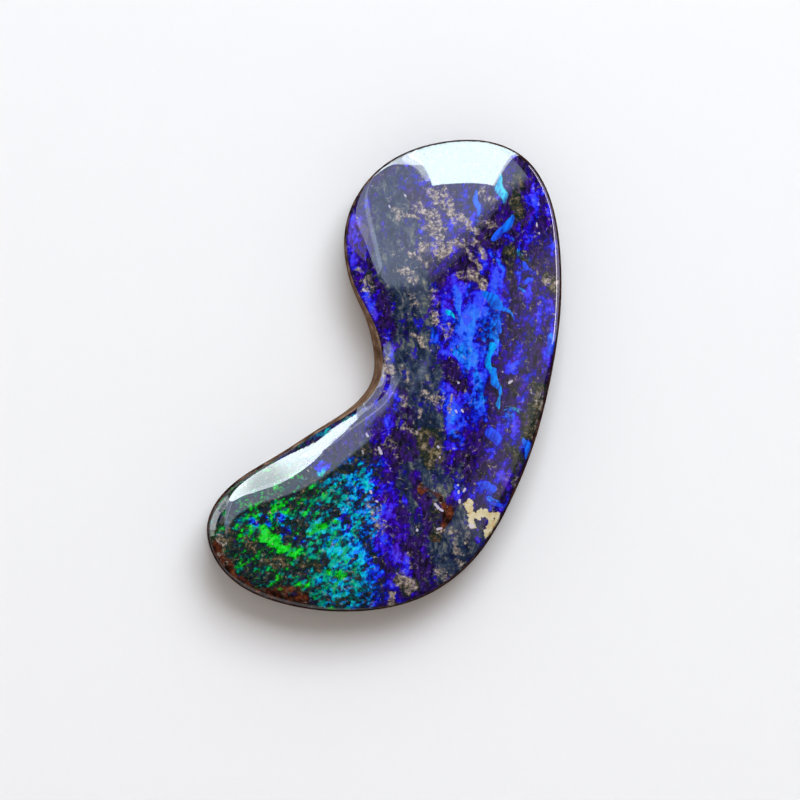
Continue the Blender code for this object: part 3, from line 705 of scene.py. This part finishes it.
class Graph:
    """The node tree of one material."""

    def __init__(self, name):
        self.material = bpy.data.materials.new(name)
        self.material.use_nodes = True
        self.tree = self.material.node_tree
        self.tree.nodes.clear()

    def node(self, kind, settings, inputs, output=0):
        """Add a node, set it, then give its sockets values or links. Return one of its outputs."""
        node = self.tree.nodes.new("ShaderNode" + kind)
        for name, value in settings.items():
            if name == "stops":
                self.fill_ramp(node.color_ramp, value)
            else:
                setattr(node, name, value)
        for name, value in inputs.items():
            if isinstance(value, Value):
                self.tree.links.new(value.socket, node.inputs[name])
            else:
                node.inputs[name].default_value = value
        return Value(self, node.outputs[output]) if node.outputs else None

    @staticmethod
    def fill_ramp(ramp, stops):
        """Give a colour ramp its stops, each a position and a colour."""
        for _ in stops[2:]:
            ramp.elements.new(0.5)
        for element, (position, colour) in zip(ramp.elements, stops):
            element.position = position
            element.color = (*colour, 1)

    def math(self, operation, first, second):
        return self.node("Math", {"operation": operation}, {0: first, 1: second})

    def clamp(self, value):
        return self.node("Clamp", {}, {"Value": value})

    def absolute(self, value):
        """Return the value without its sign."""
        return self.node("Math", {"operation": "ABSOLUTE"}, {0: value})

    def step(self, value, low, high):
        """Return 0 below low, 1 above high, and a smooth step between; low may be above high."""
        return self.node("MapRange", {"interpolation_type": "SMOOTHSTEP"},
                         {"Value": value, "From Min": low, "From Max": high})

    def attribute(self, name):
        return self.node("Attribute", {"attribute_name": name}, {}, "Fac")

    def place(self, along=1.0, across=1.0, turn=0.0):
        """Return the place on the object in units of two lengths in millimetres.

        The first length is along X turned by some degrees, the second is across it.
        """
        here = self.node("TexCoord", {}, {}, "Object")
        return self.node("Mapping", {"vector_type": "TEXTURE"}, {
            "Vector": here, "Scale": (along * MM, across * MM, across * MM),
            "Rotation": (0, 0, math.radians(turn))})

    def noise(self, place, scale, detail=3.0, roughness=0.55, output="Fac"):
        return self.node("TexNoise", {}, {"Vector": place, "Scale": scale, "Detail": detail,
                                          "Roughness": roughness}, output)

    def swing(self, place, scale, detail, reach):
        """Return noise about 0 that mostly stays within a reach."""
        return (self.noise(place, scale, detail) - 0.5) * (NOISE_GAIN * reach)

    def warp(self, place, scale, amount):
        """Return a place shifted by noise, up to amount along each axis."""
        shift = self.noise(place, scale, 2.0, 0.5, "Color")
        return self.node("VectorMath", {"operation": "MULTIPLY_ADD"},
                         {0: shift, 1: (amount, amount, amount), 2: place})

    def flakes(self, place, scale):
        """Return two random values for each cell of a flake pattern."""
        colour = self.node("TexVoronoi", {"voronoi_dimensions": "2D"},
                           {"Vector": place, "Scale": scale}, "Color")
        split = {"Color": colour}
        return (self.node("SeparateColor", {}, split, "Red"),
                self.node("SeparateColor", {}, split, "Green"))

    def mix(self, factor, first, second, blend="MIX"):
        """Return the mix of two colours."""
        sockets = {0: factor}
        for index, colour in ((6, first), (7, second)):
            sockets[index] = colour if isinstance(colour, Value) else (*colour, 1)
        return self.node("Mix", {"data_type": "RGBA", "blend_type": blend}, sockets, 2)

    def blend(self, factor, first, second):
        """Return the mix of two numbers."""
        return self.node("Mix", {"data_type": "FLOAT"}, {0: factor, 2: first, 3: second})

    def ramp(self, factor, stops):
        return self.node("ValToRGB", {"stops": stops}, {"Fac": factor}, "Color")

    def finish(self, sockets):
        """Close the tree with one shader and the output."""
        shader = self.node("BsdfPrincipled", {}, sockets)
        self.node("OutputMaterial", {}, {"Surface": shader})
        return self.material


def ironstone(graph):
    """Return the colour and height of dark brown ironstone, paler where the tan field is high."""
    place = graph.place()
    clouds = graph.noise(graph.warp(place, 1.1, 0.7), 1.6, 5.0, 0.62)
    grain = graph.noise(place, 11.0, 3.0, 0.6)
    mottle = clouds * 0.75 + grain * 0.25
    dark = graph.ramp(mottle, (
        (0.36, (0.008, 0.003, 0.003)), (0.48, (0.022, 0.008, 0.006)),
        (0.58, (0.055, 0.020, 0.012)), (0.70, (0.110, 0.048, 0.026))))
    pale = graph.ramp(mottle, (
        (0.36, (0.070, 0.034, 0.020)), (0.50, (0.170, 0.098, 0.062)),
        (0.66, (0.330, 0.225, 0.155))))
    tan = graph.step(graph.attribute("tan") + (clouds - 0.5) * 1.8, 0.12, 0.95)
    return graph.mix(tan, dark, pale), clouds * 0.6 + grain * 0.4


def play_of_colour(graph, hue, glow, arm):
    """Return the colour of the opal's flakes and how far each is lit.

    The body has long streaks up the stone; the arm has fine slanting ones.
    """
    streaks = graph.blend(arm, graph.swing(graph.place(1.3, 0.55, 84), 1.0, 2.5, 0.55),
                          graph.swing(graph.place(0.62, 0.30, 38), 1.0, 2.0, 0.60))
    specks = graph.blend(arm, graph.swing(graph.place(), 5.0, 2.5, 0.44),
                         graph.swing(graph.place(), 6.0, 2.0, 0.50))
    body_cell, body_shade = graph.flakes(graph.warp(graph.place(0.62, 0.36, 80), 1.6, 0.5), 1.0)
    arm_cell, arm_shade = graph.flakes(graph.warp(graph.place(0.30, 0.20, 38), 1.6, 0.5), 1.0)
    cell = graph.blend(arm, body_cell, arm_cell) - 0.5
    shade = graph.blend(arm, body_shade, arm_shade) - 0.5
    power = streaks + specks + cell * 0.60 + glow
    lit = graph.step(power, 0.05, 0.95)
    shine = graph.step(power, 0.35, 1.45)
    tone = graph.clamp(hue + shade * graph.blend(arm, 0.22, 0.36) + shine * 0.14 - 0.05)
    colour = graph.ramp(tone, (
        (0.00, (0.085, 0.004, 0.560)), (0.10, (0.050, 0.004, 0.880)),
        (0.20, (0.016, 0.014, 1.000)), (0.32, (0.004, 0.080, 1.000)),
        (0.44, (0.000, 0.270, 1.000)), (0.56, (0.000, 0.620, 1.000)),
        (0.68, (0.000, 0.640, 0.500)), (0.84, (0.000, 0.400, 0.130)),
        (1.00, (0.006, 0.800, 0.008))))
    dimmed = graph.mix(1 - shine, colour, (0.12, 0.12, 0.20), "MULTIPLY")
    fibres = graph.noise(graph.warp(graph.place(0.50, 0.17, 78), 1.2, 0.6), 1.0, 3.0, 0.65)
    dark_fibres = graph.step(fibres, 0.60, 0.38) * 0.75
    dimmed = graph.mix(dark_fibres, dimmed, (0.25, 0.42, 0.80), "MULTIPLY")
    pale = graph.step(power, 0.80, 1.90) * graph.blend(arm, 0.10, 0.04)
    return graph.mix(pale, dimmed, (0.42, 0.62, 1.00)), lit


def opal_ground(graph, fuzz):
    """Return the dark ground between the flakes: potch, slate-blue haze or brown earth."""
    clouds = graph.noise(graph.place(0.9, 0.45, 80), 2.4, 4.0, 0.6)
    potch = graph.ramp(clouds, (
        (0.38, (0.006, 0.004, 0.014)), (0.48, (0.017, 0.009, 0.048)),
        (0.58, (0.032, 0.011, 0.120)), (0.72, (0.056, 0.018, 0.280))))
    wisps = graph.noise(graph.warp(graph.place(1.5, 1.0, 100), 1.6, 0.7), 2.1, 6.0, 0.70)
    haze = graph.ramp(wisps, (
        (0.36, (0.005, 0.009, 0.024)), (0.47, (0.012, 0.023, 0.055)),
        (0.55, (0.036, 0.055, 0.095)), (0.63, (0.130, 0.145, 0.130)),
        (0.73, (0.330, 0.310, 0.250))))
    soil = graph.attribute("earth")
    crumbs = graph.noise(graph.place(), 5.0, 3.0, 0.62)
    murk = graph.ramp(crumbs + soil * 0.12, (
        (0.40, (0.003, 0.011, 0.010)), (0.54, (0.012, 0.024, 0.020)),
        (0.64, (0.042, 0.036, 0.020)), (0.76, (0.180, 0.140, 0.075)),
        (0.86, (0.440, 0.390, 0.260))))
    slate = graph.step(graph.attribute("slate") + (fuzz - 0.5) * 1.6, 0.35, 0.70)
    earth = graph.step(soil + graph.attribute("arm") * 0.70 + (fuzz - 0.5) * 1.6, 0.30, 0.75)
    return graph.mix(earth, graph.mix(slate, potch, haze), murk)


def opal_material():
    """Make the polished opal face, which turns to ironstone at the rim, the wall and the back."""
    graph = Graph("opal")
    fuzz = graph.noise(graph.warp(graph.place(), 2.6, 0.35), 4.2, 5.0, 0.64)
    flakes, lit = play_of_colour(graph, graph.attribute("hue"), graph.attribute("glow"),
                                 graph.attribute("arm"))
    face = graph.mix(lit, opal_ground(graph, fuzz), flakes)

    rust = graph.step(graph.attribute("rust") + (fuzz - 0.5) * 1.2, 0.40, 0.85)
    brown = graph.ramp(graph.noise(graph.place(), 2.6, 4.0, 0.6), (
        (0.36, (0.008, 0.004, 0.003)), (0.48, (0.035, 0.010, 0.006)),
        (0.58, (0.110, 0.026, 0.011)), (0.72, (0.240, 0.075, 0.030))))
    face = graph.mix(rust, face, brown)

    curls = graph.absolute(graph.swing(graph.place(), 2.6, 1.0, 1.0))
    lines = graph.step(curls, 0.22, 0.06) * 0.30
    level = graph.attribute("lace") + lines + (fuzz - 0.5) * 3.4
    lace = graph.step(level, 0.64, 0.96) * 0.56 + graph.step(level, 0.24, 0.88) * 0.38
    beige = graph.ramp(graph.noise(graph.place(), 7.0, 2.0, 0.6), (
        (0.38, (0.130, 0.102, 0.095)), (0.52, (0.330, 0.272, 0.232)),
        (0.66, (0.560, 0.490, 0.420))))
    face = graph.mix(lace, face, beige)

    crumbs = graph.swing(graph.place(), 4.6, 2.0, 0.40)
    cream = graph.step(graph.attribute("cream") + (fuzz - 0.5) * 1.6 + crumbs, -0.04, 0.14)
    face = graph.mix(cream, face, graph.ramp(fuzz, (
        (0.38, (0.62, 0.42, 0.19)), (0.46, (0.58, 0.52, 0.29)), (0.60, (0.68, 0.60, 0.42)))))

    hatch = graph.swing(graph.place(1.0, 0.13, 66), 1.0, 1.0, 0.55)
    flash = graph.step(graph.attribute("flash") + (fuzz - 0.5) * 0.6 + hatch * 0.15, -0.10, 0.25)
    flash_colour = graph.ramp(graph.attribute("flash_hue"), (
        (0.00, (0.03, 0.02, 1.00)), (0.30, (0.02, 0.09, 1.00)), (0.56, (0.00, 0.26, 1.00)),
        (0.80, (0.00, 0.70, 1.00)), (1.00, (0.30, 0.50, 1.00))))
    across = graph.attribute("flash_across") * 0.4
    side = graph.step(across + hatch + (fuzz - 0.5) * 2.0, -0.70, 0.55)
    flash_colour = graph.mix(side, graph.mix(0.75, flash_colour, (0.01, 0.01, 0.30)), flash_colour)
    face = graph.mix(flash, face, flash_colour)

    glint = graph.step(graph.attribute("glint") + (fuzz - 0.5), 0.0, 0.30)
    face = graph.mix(glint * 0.8, face, (0.60, 0.56, 0.72))

    depth = graph.attribute("depth")
    # Painted shade: the face darkens in a band just inside the rim
    rim_shade = graph.step(depth + (fuzz - 0.5) * 0.10, *RIM_SHADE_ENDS)
    face = graph.mix(rim_shade * 0.8, face, (0.010, 0.005, 0.007))

    stone, relief = ironstone(graph)
    polished = graph.step(depth + (fuzz - 0.5) * 0.12, *POLISH_BEGINS)
    colour = graph.mix(polished, stone, face)
    ripple = graph.noise(graph.place(), 1.3, 3.0, 0.5) * polished * 0.5
    bump = graph.node("Bump", {}, {"Strength": 0.5, "Distance": RELIEF_HEIGHT * MM,
                                   "Height": relief * (1 - polished) + ripple})
    gloss = polished * (1 - graph.attribute("dull"))
    return graph.finish({"Base Color": colour, "Roughness": 0.6, "Specular IOR Level": 0.0,
                         "Coat Weight": gloss, "Coat Roughness": 0.03, "Coat IOR": 1.46,
                         "Normal": bump})


# Stage and properties


class StoneShape(bpy.types.PropertyGroup):
    """Sizes of the stone, in millimetres."""

    girdle_height: FloatProperty(name="Girdle height", description="Height of the widest line",
                                 default=0.25, min=0.0)
    top_height: FloatProperty(name="Top height", description="Height of the dome's flat top",
                              default=3.70, min=1.0)
    dip_depth: FloatProperty(name="Dip depth", description="Depth of the dip beside the hollow",
                             default=0.45, min=0.0)
    back_inset: FloatProperty(name="Back inset", description="How far the back lies inside",
                              default=0.25, min=0.0)
    rim_inset: FloatProperty(name="Rim inset", description="How far the rim lies inside",
                             default=0.05, min=0.0)
    hollow_inset: FloatProperty(name="Hollow inset", description="Further lean of the hollow",
                                default=0.30, min=0.0)
    hollow_reach: FloatProperty(name="Hollow reach", description="Reach of the further lean",
                                default=2.6, min=0.1)
    rim_round: FloatProperty(name="Rim rounding", description="Where the rim's rounding starts",
                             default=0.04, min=0.01)
    edge_roll: FloatProperty(name="Edge roll", description="Rise of the rolled edge",
                             default=0.04, min=0.0)
    edge_reach: FloatProperty(name="Edge reach", description="Reach of the rolled edge",
                              default=0.10, min=0.01)


class StageLook(bpy.types.PropertyGroup):
    """Colours of the floor and the lights, and the strengths of the lights."""

    floor: FloatVectorProperty(name="Floor", description="Colour of the floor", subtype="COLOR",
                               default=(0.80, 0.80, 0.81))
    key_colour: FloatVectorProperty(name="Key colour", description="Colour of the upper light",
                                    subtype="COLOR", default=(0.86, 0.905, 0.975))
    key_strength: FloatProperty(name="Key strength", description="Radiance of the upper light",
                                default=7.5, min=0.0)
    fill_colour: FloatVectorProperty(name="Fill colour", description="Colour of the light around",
                                     subtype="COLOR", default=(1.0, 0.90, 0.82))
    fill_strength: FloatProperty(name="Fill strength", description="Radiance of the light around",
                                 default=0.47, min=0.0)


def assign_material(obj, material):
    obj.data.materials.clear()
    obj.data.materials.append(material)


def simple_material(name, colour, roughness):
    material = bpy.data.materials.new(name)
    material.use_nodes = True
    shader = material.node_tree.nodes["Principled BSDF"]
    shader.inputs["Base Color"].default_value = (*colour, 1)
    shader.inputs["Roughness"].default_value = roughness
    shader.inputs["IOR"].default_value = 1.45
    return material


class OPAL_OT_stone(bpy.types.Operator):
    """Make the stone, whose polished face and ironstone back are one surface"""

    bl_idname = "boulder_opal.stone"
    bl_label = "Stone"

    def execute(self, context):
        shape = context.scene.opal_shape
        mesh = new_mesh("opal_stone", *stone_surface(shape))
        stone = bpy.data.objects.new("opal_stone", mesh)
        context.scene.collection.objects.link(stone)
        assign_material(stone, opal_material())
        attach(stone, "root")
        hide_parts("boulder_opal")
        return {"FINISHED"}


def rectangle_light(name, place, turn, size, radiance, colour, mirrored):
    """Add a rectangular light of one radiance, in millimetres, that only shines or is mirrored."""
    data = bpy.data.lights.new(name, "AREA")
    data.shape = "RECTANGLE"
    data.size, data.size_y = size[0] * MM, size[1] * MM
    data.energy = radiance * math.pi * data.size * data.size_y
    data.color = colour
    light = bpy.data.objects.new(name, data)
    bpy.context.scene.collection.objects.link(light)
    light.location = Vector(place) * MM
    light.rotation_euler = turn
    light.visible_camera = False
    light.visible_glossy = mirrored
    light.visible_diffuse = not mirrored


def upright_window(name, azimuth, distance, shift, width, bottom, top, radiance, colour, lean=0):
    """Add a window that stands upright round the stone and is only seen as a reflection.

    It is shifted clockwise along its own plane, and leans in that plane by some degrees.
    """
    angle = math.radians(azimuth)
    outward_x, outward_y = math.cos(angle), math.sin(angle)
    place = (distance * outward_x + shift * outward_y, distance * outward_y - shift * outward_x,
             (bottom + top) / 2)
    upright = Euler((math.pi / 2, 0, angle + math.pi / 2)).to_quaternion()
    turn = (upright @ Quaternion((0, 0, 1), math.radians(lean))).to_euler()
    rectangle_light(name, place, turn, (width, top - bottom), radiance, colour, True)


# Windows seen as reflections: azimuth, then distance, shift, width, bottom and top in
# millimetres, then radiance, colour and the lean where there is one
WINDOWS = (
    ("window", 90, 220, 71.5, 188, 37, 540, 27.0, (0.79, 0.98, 1.0)),
    ("window_side", 90, 220, 170, 9, 37, 540, 13.0, (0.85, 0.95, 1.0)),
    ("window_end", 104.4, 220, 0, 10, 37, 470, 9.0, (0.85, 0.95, 1.0)),
    ("window_edge", 99.5, 220, 0, 28, 37, 531, 27.0, (0.79, 0.98, 1.0)),
    ("side_corner", 135.7, 300, 0, 20, 15, 205, 5.0, (0.88, 0.98, 1.0)),
    ("neck_pane", 144, 300, 0, 73, 90, 245, 3.8, (0.74, 0.78, 1.0)),
    ("tip_corner", 144, 300, 0, 73, 5, 90, 7.0, (0.90, 0.96, 1.0)),
    ("tip_pane", 165, 300, 0, 157, 5, 215, 8.5, (0.90, 0.94, 1.0)),
    ("tip_end", 184, 300, 0, 42, 5, 170, 4.0, (0.90, 0.94, 1.0)),
    ("lilac_pane", 158, 300, 0, 84, 330, 640, 1.8, (1.0, 0.85, 0.9)),
    ("side_haze", 144, 305, -25.4, 61, 105, 1031, 5.0, (0.66, 0.76, 1.0), -12.2),
    ("right_line", 18, 300, 0, 267, 166, 177, 24.0, (1.0, 0.93, 1.0)),
    ("right_strip", 18, 300, 0, 267, 60, 165, 5.0, (0.8, 0.75, 1.0)),
)

# The side window, whose edges slope: azimuth, bottom and top in millimetres, and radiance
SIDE_WINDOW = (
    (103.0, 5, 440, 13.0), (108.0, 5, 425, 14.0), (113.0, 10, 385, 16.0), (118.0, 20, 345, 22.0),
    (123.0, 34, 320, 25.0), (128.0, 60, 300, 25.0), (131.0, 86, 272, 24.0),
    (133.8, 122, 195, 22.0),
)
SIDE_DISTANCE = 300
SIDE_PANES = 22
SIDE_COLOUR = (0.86, 0.98, 1.0)


def side_window():
    """Add the side window as a row of narrow panes, each a straight piece of its outline."""
    azimuths, bottoms, tops, radiances = np.array(SIDE_WINDOW).T
    edges = np.linspace(azimuths[0], azimuths[-1], SIDE_PANES + 1)
    width = 2 * SIDE_DISTANCE * math.tan(math.radians(edges[1] - edges[0]) / 2)
    for azimuth in (edges[:-1] + edges[1:]) / 2:
        bottom, top, radiance = (
            float(np.interp(azimuth, azimuths, values)) for values in (bottoms, tops, radiances))
        upright_window("side_window", float(azimuth), SIDE_DISTANCE, 0, width, bottom, top,
                       radiance, SIDE_COLOUR)


# A faint haze on the right: rectangles of rising height that add up, so that it fades inward
HAZE_AZIMUTH = 348
HAZE_DISTANCE = 300
HAZE_SPACING = 4
HAZE_WIDTH = 160
HAZE_SPREAD = 0.10
HAZE_BOTTOM = 165
HAZE_TOPS = (380, 500, 650, 840, 1080, 1400)
HAZE_RADIANCE = 0.18
HAZE_COLOUR = (1.0, 0.97, 0.90)


def right_haze():
    """Add the haze's rectangles one behind another, each wider by a share of its height."""
    for number, top in enumerate(HAZE_TOPS):
        upright_window("right_haze", HAZE_AZIMUTH, HAZE_DISTANCE + HAZE_SPACING * number, 0,
                       HAZE_WIDTH + HAZE_SPREAD * top, HAZE_BOTTOM, top, HAZE_RADIANCE,
                       HAZE_COLOUR)


# The veil over the head: one wide sheet behind another, whose depths step down, so that the
# reflection has a soft lower border
VEIL_PLACE = (51, 438, 600)
VEIL_TURN = 31.2
VEIL_SIZE = (816, 600)
VEIL_RADIANCE = 4.1
VEIL_COLOUR = (0.66, 0.76, 1.0)
VEIL_STEPS = (36, 12, -12, -36)
VEIL_SPACING = 2


def veil():
    """Add the veil's sheets, each with its share of the radiance."""
    x, y, z = VEIL_PLACE
    for number, step in enumerate(VEIL_STEPS):
        rectangle_light("veil", (x, y, z + VEIL_SPACING * number),
                        Euler((0, 0, math.radians(VEIL_TURN))),
                        (VEIL_SIZE[0], VEIL_SIZE[1] + step),
                        VEIL_RADIANCE / len(VEIL_STEPS), VEIL_COLOUR, True)


# The upper light in millimetres, the floor's half width in metres, and the camera, which looks
# straight down from its place on a view of some width, all in millimetres
KEY_PLACE = (90, 260, 390)
KEY_SIZE = (300, 300)
FLOOR_HALF = 1.0
CAMERA_PLACE = (0.78, -1.21, 400)
SENSOR_WIDTH = 36
VIEW_WIDTH = 40


class OPAL_OT_stage(bpy.types.Operator):
    """Make the pale floor, the soft lights and the camera"""

    bl_idname = "boulder_opal.stage"
    bl_label = "Stage"

    def execute(self, context):
        scene = context.scene
        look = scene.opal_stage
        mesh = bpy.data.meshes.new("floor")
        half = FLOOR_HALF
        mesh.from_pydata([(-half, -half, 0), (half, -half, 0), (half, half, 0), (-half, half, 0)],
                         [], [(0, 1, 2, 3)])
        floor = bpy.data.objects.new("floor", mesh)
        scene.collection.objects.link(floor)
        assign_material(floor, simple_material("floor", look.floor, 0.9))
        world = bpy.data.worlds.new("surroundings")
        world.use_nodes = True
        fill = world.node_tree.nodes["Background"].inputs
        fill["Color"].default_value = (*look.fill_colour, 1)
        fill["Strength"].default_value = look.fill_strength
        world.cycles_visibility.glossy = False
        scene.world = world
        for window in WINDOWS:
            upright_window(*window)
        side_window()
        right_haze()
        veil()
        key = Vector(KEY_PLACE)
        rectangle_light("key", key, (-key).to_track_quat("-Z", "Y").to_euler(), KEY_SIZE,
                        look.key_strength, look.key_colour, False)
        data = bpy.data.cameras.new("camera")
        data.sensor_width = SENSOR_WIDTH
        data.lens = SENSOR_WIDTH * CAMERA_PLACE[2] / VIEW_WIDTH
        camera = bpy.data.objects.new("camera", data)
        camera.location = Vector(CAMERA_PLACE) * MM
        scene.collection.objects.link(camera)
        scene.camera = camera
        scene.view_settings.view_transform = "Standard"
        return {"FINISHED"}


class OPAL_PT_panel(bpy.types.Panel):
    """Sizes and colours, and the buttons that make the stone and its stage"""

    bl_idname = "OPAL_PT_panel"
    bl_label = "Boulder Opal"
    bl_space_type = "VIEW_3D"
    bl_region_type = "UI"
    bl_category = "Boulder Opal"

    def draw(self, context):
        scene = context.scene
        for group, operator in ((scene.opal_shape, "boulder_opal.stone"),
                                (scene.opal_stage, "boulder_opal.stage")):
            for name in group.__annotations__:
                self.layout.prop(group, name)
            self.layout.operator(operator)


CLASSES = (StoneShape, StageLook, OPAL_OT_stone, OPAL_OT_stage, OPAL_PT_panel)


def register():
    for cls in CLASSES:
        bpy.utils.register_class(cls)
    bpy.types.Scene.opal_shape = PointerProperty(type=StoneShape)
    bpy.types.Scene.opal_stage = PointerProperty(type=StageLook)


def unregister():
    del bpy.types.Scene.opal_stage
    del bpy.types.Scene.opal_shape
    for cls in reversed(CLASSES):
        bpy.utils.unregister_class(cls)


def main():
    register()
    bpy.ops.boulder_opal.stone()
    bpy.ops.boulder_opal.stage()


if __name__ == "__main__":
    main()
